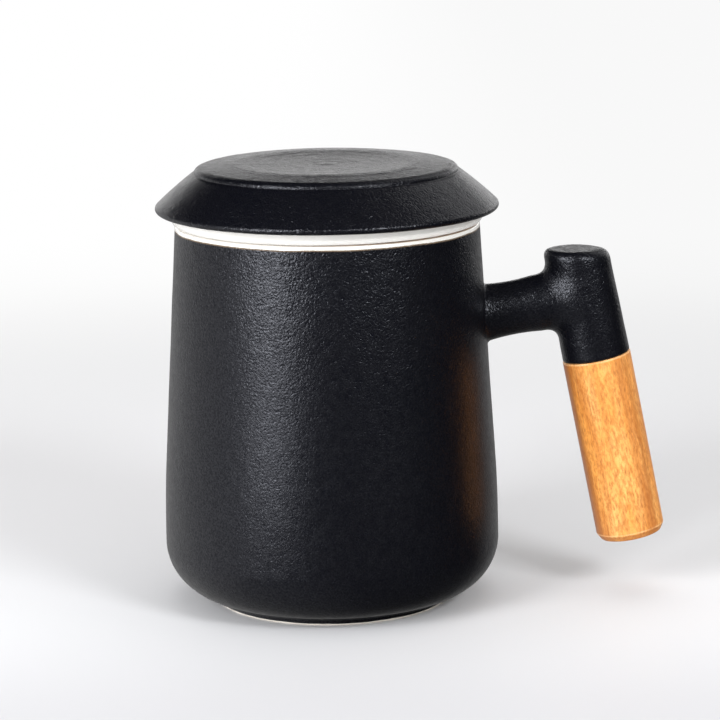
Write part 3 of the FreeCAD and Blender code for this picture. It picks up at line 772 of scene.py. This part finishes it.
# ------------------------------------------------------------------ lid
def build_lid():
    # a shallow dish inside a broad rim that falls gently to the edge
    top = [
        ("A", 23.0, 115.9025, 412.0, 1, 0.55),
        ("A", 23.858, 115.889, 6.0, -1, 0.25),
        ("L", 32.127, 115.193, 0.6),
    ]
    # the outline runs from the top's centre outwards, so it keeps the solid on its right
    edge = [
        ("A", 33.637, 114.788, 4.5, -1, 0.25),
        ("A", 34.33, 113.7, 1.2, -1, 0.18),
        ("L", 34.33, 113.62, 0.1),
        ("L", 34.5, 113.5, 0.1),
        ("L", 34.95, 113.36, 0.25),
        ("A", 44.325, 105.395, 110.0, -1, 0.62),
        ("A", 43.67, 103.57, 1.03, -1, 0.16),
    ]
    under = [
        ("L", 42.7, 103.57, 0.3),
        ("L", 41.9, 104.0, 0.4),
        ("L", 32.0, 104.0, 1.2),
        ("A", 31.4, 103.4, 0.6, 1, 0.2),
        ("L", 31.4, 101.4, 0.7),
        ("A", 30.8, 100.8, 0.6, -1, 0.15),
        ("L", 29.4, 100.8, 0.5),
        ("A", 28.8, 101.4, 0.6, -1, 0.15),
        ("L", 28.2, 106.6, 0.9),
        ("A", 24.2, 110.1, 3.95, 1, 0.5),
        ("L", 0.0, 110.1, 2.2),
    ]
    start = (0, 115.26)
    marks, moves = [], []
    for r in (top, edge, under):
        moves += r
        marks.append(len(trace(start, moves)) - 1)
    pts = trace(start, moves)[::-1]
    rows = len(pts)
    under_end = rows - 1 - marks[1]
    kinds = []
    for k in range(rows):
        if k >= under_end - 1:
            kinds.append(0)
        else:
            kinds.append(1)

    def move(co, out, row):
        z = co[:, 2]
        r = np.hypot(co[:, 0], co[:, 1])
        above = row >= under_end
        d = 0.035 * lumps(co, 13.0, 2, 31) + 0.016 * lumps(co, 3.4, 1, 37)
        # slow turning rings and a small nub at the centre of the disc
        rings = 0.016 * np.sin(r * 1.55 + 0.6 * noise3(co, 15.0, 33)) + 0.010 * np.sin(r * 3.7 + 1.0)
        d = d + rings * (1 - ease(r, 28.0, 31.0)) * ease(r, 1.0, 5.0)
        d = d + 0.17 * np.exp(-((r / 1.9) ** 2)) - 0.03 * np.exp(-(((r - 3.8) / 1.2) ** 2))
        d = np.where(above, d, 0.0)
        inner = (row < under_end) & (r < 27.5)
        d = np.where(inner, 0.05 * lumps(co, 12.0, 2, 39), d)
        limit = 0.06  # the rim, the crown and the brim stay within the turned size
        d = np.where(above, np.minimum(d, np.where(r < 14.0, 1.0, limit)) - limit * ease(r, 9.0, 14.0), d)
        return co + out * d[:, None]

    return lathe("lid_cover_piece", pts, SEG, move, kinds)


# ------------------------------------------------------------------ infuser
def build_infuser():
    outside = [
        ("L", 26.3, 38.0, 1.6),
        ("A", 32.2, 44.2, 6.2, 1, 0.7),
        ("L", 34.9, 99.5, 1.6),
        ("A", 35.7, 100.3, 0.8, -1, 0.2),
        ("L", 38.9, 100.3, 0.7),
        ("A", 40.5, 101.9, 1.6, 1, 0.2),
        ("L", 40.45, 103.3, 0.4),
        ("A", 39.75, 104.0, 0.7, 1, 0.14),
        ("L", 33.3, 104.0, 1.0),
        ("A", 32.4, 103.1, 0.9, 1, 0.16),
        ("L", 29.6, 45.4, 1.6),
        ("A", 25.2, 41.0, 4.4, -1, 0.7),
        ("L", 0.0, 41.0, 1.6),
    ]
    pts = trace((0, 38.0), outside)

    def move(co, out, row):
        z = co[:, 2]
        r = np.hypot(co[:, 0], co[:, 1])
        d = 0.035 * lumps(co, 16.0, 2, 51)
        d = d * (1 - ease(z, 96.0, 99.0))
        d = np.where(z > 99.0, 0.018 * (lumps(co, 9.0, 1, 52) - 1.0) * (1 - ease(r, 38.0, 39.5) * (z > 103.6)), d)
        return co + out * d[:, None]

    ob = lathe("infuser_basket_piece", pts, 288, move)
    # holes, with lips that the glaze has rounded
    verts, faces = [], []

    def cutter(base, axis, side, length, radius, flare):
        n = 26
        other = np.cross(axis, side)
        ring = []
        for t, rr in ((-0.6, radius + flare + 0.6), (0.0, radius + flare), (flare * 0.3, radius + flare * 0.35), (flare, radius),
                      (length - flare, radius), (length - flare * 0.3, radius + flare * 0.35), (length, radius + flare), (length + 0.6, radius + flare + 0.6)):
            a = 2 * math.pi * np.arange(n) / n
            pos = base + axis * t + rr * (np.cos(a)[:, None] * side + np.sin(a)[:, None] * other)
            ring.append(len(verts) + np.arange(n))
            verts.extend(pos)
        for k in range(len(ring) - 1):
            for j in range(n):
                m = (j + 1) % n
                faces.append((ring[k][j], ring[k][m], ring[k + 1][m], ring[k + 1][j]))
        faces.append(tuple(ring[0][::-1]))
        faces.append(tuple(ring[-1]))

    up = np.array([0, 0, 1.0])
    spots = [(0.0, 0.0)]
    for k in range(1, 5):
        for j in range(6 * k):
            a = 2 * math.pi * j / (6 * k)
            spots.append((5.4 * k * math.cos(a), 5.4 * k * math.sin(a)))
    for x, y in spots:
        cutter(np.array([x, y, 38.0]), up, np.array([1.0, 0, 0]), 3.0, 1.08, 0.32)
    slope = math.atan((34.9 - 32.2) / (99.5 - 44.2))
    for z in (48.0, 53.2, 58.4):
        for j in range(24):
            a = 2 * math.pi * j / 24
            out = np.array([math.cos(a), math.sin(a), 0])
            r_in = 29.6 + (z - 45.4) * (32.4 - 29.6) / (103.1 - 45.4)
            r_out = 32.2 + (z - 44.2) * (34.9 - 32.2) / (99.5 - 44.2)
            cutter(out * r_in + up * z, out, np.array([-math.sin(a), math.cos(a), 0]), r_out - r_in, 1.08, 0.32)
    holes = make("infuser_holes", np.array(verts), faces)
    combine(ob, holes, "DIFFERENCE")
    return ob


# ------------------------------------------------------------------ grip
def build_grip():
    """In its own frame: the joint with the socket is at 0 and the grip hangs down -Z."""
    outside = [
        ("L", 4.9, -0.02, 0.8),
        ("L", 8.68, -0.02, 0.8),
        ("A", 9.03, -0.37, 0.35, -1, 0.12),
        ("L", 9.03, -47.42, 0.9),
        ("L", 9.0, -47.52, 0.1),
        ("L", 8.26, -48.83, 0.22),
        ("L", 8.18, -48.95, 0.1),
        ("L", 8.0, -49.1, 0.1),
        ("L", 0.0, -49.1, 0.9),
    ]
    bore = [("L", 4.5, -14.0, 1.5), ("L", 3.3, -15.0, 0.5), ("L", 3.3, -26.0, 1.5), ("L", 0.0, -27.0, 1.0)]
    down = trace((4.5, -0.3), bore)
    out = trace((4.5, -0.3), outside)
    pts = np.concatenate([down[::-1], out[1:]])[::-1]

    def move(co, o, row):
        r = np.hypot(co[:, 0], co[:, 1])
        # fibres stand a hair proud: long low flutes along the grain
        q = co * np.array([1, 1, 0.09])
        d = 0.010 * lumps(q, 1.6, 2, 61) + 0.018 * lumps(q, 6.0, 1, 63) - 0.028
        return co + o * np.where(r > 8.0, d, 0.0)[:, None]

    ob = lathe("wooden_grip_piece", pts, 144, move)
    ob.data.transform(Matrix.Translation(Vector(JOINT * MM)) @ Matrix.Rotation(-TILT, 4, "Y"))
    ob.data.update()
    return ob


# ------------------------------------------------------------------ put together
black_mug = glaze_mug_outside()
white_mug = glaze_white("mug_white_glaze")
black_lid = glaze_lid()
white_lid = glaze_white("lid_white_glaze", 0.01)
white_basket = glaze_white("infuser_white_glaze")
wood = beech()

cup, cup_pts = build_cup()
handle = build_handle()
set_only(cup, black_mug, white_mug)
set_only(handle, black_mug)
combine(cup, handle, "UNION")
cup.name = "mug_cup_and_handle"
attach(cup, "mug")
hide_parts("mug_body")

basket = build_infuser()
set_only(basket, white_basket)
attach(basket, "infuser_basket")
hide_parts("infuser")

lid = build_lid()
set_only(lid, black_lid, white_lid)
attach(lid, "lid_cover")
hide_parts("lid")

grip = build_grip()
set_only(grip, wood)
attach(grip, "mug")
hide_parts("wooden_grip")

set_only(NODES["grip_stud"], metal("stud_brushed_steel", (0.62, 0.62, 0.63), (0.45, 0.45, 0.47), 0.30, 2400.0))
set_only(NODES["grip_insert"], metal("insert_turned_brass", (0.78, 0.58, 0.27), (0.60, 0.41, 0.16), 0.28, 2000.0))
set_only(NODES["stud_bond"], resin())


# ------------------------------------------------------------------ camera
def build_camera():
    pitch, yaw, roll = 0.2024, 0.01003, -0.0150
    fw = Vector((math.sin(yaw) * math.cos(pitch), math.cos(yaw) * math.cos(pitch), -math.sin(pitch)))
    rt = fw.cross(Vector((0, 0, 1))).normalized()
    up = rt.cross(fw)
    c, s = math.cos(roll), math.sin(roll)
    rt, up = c * rt + s * up, -s * rt + c * up
    data = bpy.data.cameras.new("camera")
    data.sensor_fit = "HORIZONTAL"
    data.sensor_width = 36.0
    data.lens = 36.0 * 3110.0 / 720.0
    data.clip_start, data.clip_end = 0.05, 50.0
    ob = bpy.data.objects.new("camera", data)
    scene.collection.objects.link(ob)
    m = Matrix((rt, up, -fw)).transposed().to_4x4()
    m.translation = Vector((0.0, -0.8, 0.2274))
    ob.matrix_world = m
    scene.camera = ob
    return ob


build_camera()


# ------------------------------------------------------------------ floor and light
def build_floor():
    """A pale table top that brightens with distance until it glows like the background."""
    n, rings = 96, [0.0, 0.05, 0.1, 0.2, 0.35, 0.5, 0.8, 1.2, 2.0, 3.0]
    bm = bmesh.new()
    mid = bm.verts.new((0, 0, 0))
    last = None
    for r in rings[1:]:
        ring = [bm.verts.new((r * math.cos(2 * math.pi * j / n), r * math.sin(2 * math.pi * j / n), 0)) for j in range(n)]
        for j in range(n):
            k = (j + 1) % n
            bm.faces.new((mid, ring[j], ring[k]) if last is None else (last[j], ring[j], ring[k], last[k]))
        last = ring
    mesh = bpy.data.meshes.new("floor")
    bm.to_mesh(mesh)
    bm.free()
    ob = bpy.data.objects.new("floor", mesh)
    scene.collection.objects.link(ob)
    m, net, sh = material("floor_pale", (0.8, 0.8, 0.8))
    co = net.place()
    xyz = net.add("ShaderNodeSeparateXYZ")
    net.put(co, xyz.inputs[0])
    drift = net.noise(co, 9.0, 2.0, 0.5)
    # painted shade: a faintly darker band on the table behind the cup
    painted_shade_behind = net.math("MULTIPLY", net.span(xyz.outputs[1], -0.02, 0.10), net.span(xyz.outputs[1], 0.16, 0.34, 1.0, 0.0))
    tone = net.math("MULTIPLY_ADD", drift, 0.25, net.math("MULTIPLY", painted_shade_behind, 0.75))
    # painted shade: the table darkens towards the camera, in front of the cup
    painted_shade_front = net.span(xyz.outputs[1], -0.02, -0.12)
    pale = net.mix(tone, (0.82, 0.82, 0.83), (0.80, 0.795, 0.805))
    net.put(net.mix(painted_shade_front, pale, (0.66, 0.655, 0.67)), sh.inputs["Base Color"])
    sh.inputs["Roughness"].default_value = 0.6
    sh.inputs["Specular IOR Level"].default_value = 0.2
    reach = net.vec("LENGTH", co)
    far = net.span(reach, 0.16, 0.50)
    haze = net.add("ShaderNodeEmission")
    haze.inputs[0].default_value = (1.0, 1.0, 1.0, 1)
    right = net.span(xyz.outputs[0], -0.05, 0.16, 1.0, 0.94)
    net.put(net.math("MULTIPLY", net.span(reach, 0.16, 0.62, 0.88, 1.0), right), haze.inputs[1])
    table = net.add("ShaderNodeMixShader")
    net.put(far, table.inputs[0])
    net.put(sh.outputs[0], table.inputs[1])
    net.put(haze.outputs[0], table.inputs[2])
    clear = net.add("ShaderNodeBsdfTransparent")
    mixer = net.add("ShaderNodeMixShader")
    net.put(net.add("ShaderNodeNewGeometry").outputs["Backfacing"], mixer.inputs[0])
    net.put(table.outputs[0], mixer.inputs[1])
    net.put(clear.outputs[0], mixer.inputs[2])
    out = next(x for x in m.node_tree.nodes if x.type == "OUTPUT_MATERIAL")
    net.l.new(mixer.outputs[0], out.inputs[0])
    set_only(ob, m)
    ob.visible_glossy = False
    return ob


def area(name, azimuth, elevation, distance, size, power, color=(1, 1, 1), target=(0, 0, 0.055)):
    """A soft lamp. Azimuth 0 is the camera's side and grows to its right."""
    a, e = math.radians(azimuth), math.radians(elevation)
    d = Vector((math.sin(a) * math.cos(e), -math.cos(a) * math.cos(e), math.sin(e)))
    data = bpy.data.lights.new(name, "AREA")
    data.shape = "RECTANGLE"
    data.size, data.size_y = size
    data.energy = power
    data.color = color
    ob = bpy.data.objects.new(name, data)
    scene.collection.objects.link(ob)
    ob.location = Vector(target) + d * distance
    ob.rotation_mode = "QUATERNION"
    ob.rotation_quaternion = (-d).to_track_quat("-Z", "Y")
    ob.visible_camera = False
    return ob


def build_world():
    """Pale to the eye. For reflections it is a studio: bright to the left and behind,
    dark towards the right front and overhead. For soft light it is a fill that is brighter on the camera's side than
    behind."""
    w = bpy.data.worlds.new("studio")
    scene.world = w
    w.use_nodes = True
    net = Net(w.node_tree)
    for x in list(net.n):
        net.n.remove(x)
    co = net.add("ShaderNodeTexCoord").outputs["Generated"]
    d = net.vec("NORMALIZE", co)
    xyz = net.add("ShaderNodeSeparateXYZ")
    net.put(d, xyz.inputs[0])
    x, y, z = xyz.outputs
    low = net.math("MULTIPLY", net.span(z, 0.06, 0.34, 1.0, 0.0), net.span(z, -0.72, -0.28, 0.34, 1.0))
    # a bright wall on the left, from the front left round to behind
    left = net.span(net.vec("DOT_PRODUCT", d, (-0.93, 0.36, 0.0)), 0.30, 0.97)
    # the pale background
    back = net.span(net.vec("DOT_PRODUCT", d, (-0.05, 0.995, 0.0)), 0.45, 0.82)
    # a window high on the right, behind
    window = net.span(net.vec("DOT_PRODUCT", d, (0.56, 0.64, 0.52)), 0.87, 0.995)
    window = net.math("MULTIPLY", window, net.span(z, 0.22, 0.45))
    # the table behind is seen in the cup's wall, the brighter wall above it in the lid
    table = net.span(x, -0.5, 0.5, 0.95, 0.66)
    strength = net.blend(net.span(z, -0.05, 0.12), table, 2.9)
    horizon = net.math("MULTIPLY", net.span(z, 0.0, 0.07), net.span(z, 0.09, 0.19, 1.0, 0.0))
    strength = net.math("MULTIPLY", strength, net.math("MULTIPLY_ADD", horizon, 0.52, 0.60))
    walls = net.math("MAXIMUM", net.math("MULTIPLY", left, 0.71), net.math("MULTIPLY", back, strength))
    left_cut = net.math("MULTIPLY", net.span(x, -0.30, -0.60), net.span(z, 0.0, 0.12, 0.0, 0.75))
    walls = net.math("MULTIPLY", walls, net.math("SUBTRACT", 1.0, left_cut))
    mirror = net.math("MULTIPLY", walls, low)
    mirror = net.math("MULTIPLY_ADD", window, 0.9, mirror)
    # the table close to the foot, lighter on the left
    near = net.math("MULTIPLY", net.span(z, -0.30, -0.62), net.span(x, 0.35, -0.50, 0.05, 0.30))
    mirror = net.math("ADD", mirror, near)
    path = net.add("ShaderNodeLightPath")
    lit = net.blend(path.outputs["Is Glossy Ray"], net.span(y, -0.7, 0.7, 0.80, 0.38), mirror)
    glow = net.add("ShaderNodeBackground")
    glow.inputs[0].default_value = (1.0, 0.995, 0.99, 1)
    net.put(lit, glow.inputs[1])
    seen = net.add("ShaderNodeBackground")
    seen.inputs[0].default_value = (1.0, 1.0, 1.0, 1)
    rise = net.span(z, -0.225, -0.150, 0.80, 1.0)
    side = net.span(x, -0.05, 0.13, 1.0, 0.955)
    net.put(net.math("MULTIPLY", rise, side), seen.inputs[1])
    mixer = net.add("ShaderNodeMixShader")
    net.put(path.outputs["Is Camera Ray"], mixer.inputs[0])
    net.put(glow.outputs[0], mixer.inputs[1])
    net.put(seen.outputs[0], mixer.inputs[2])
    out = net.add("ShaderNodeOutputWorld")
    net.put(mixer.outputs[0], out.inputs[0])


build_floor()
build_world()
area("softbox_left", -42.5, 18, 0.95, (0.38, 0.64), 8.8, (0.965, 0.975, 1.0))
area("lamp_right", 38, 30, 1.0, (0.28, 0.20), 4.4, (0.96, 0.98, 1.0))
top = area("fill_top", 175, 70, 1.2, (1.0, 0.8), 3.5)
top.visible_glossy = False

scene.view_settings.view_transform = "Standard"
scene.view_settings.look = "None"
scene.view_settings.exposure = 0.0
scene.view_settings.gamma = 1.0
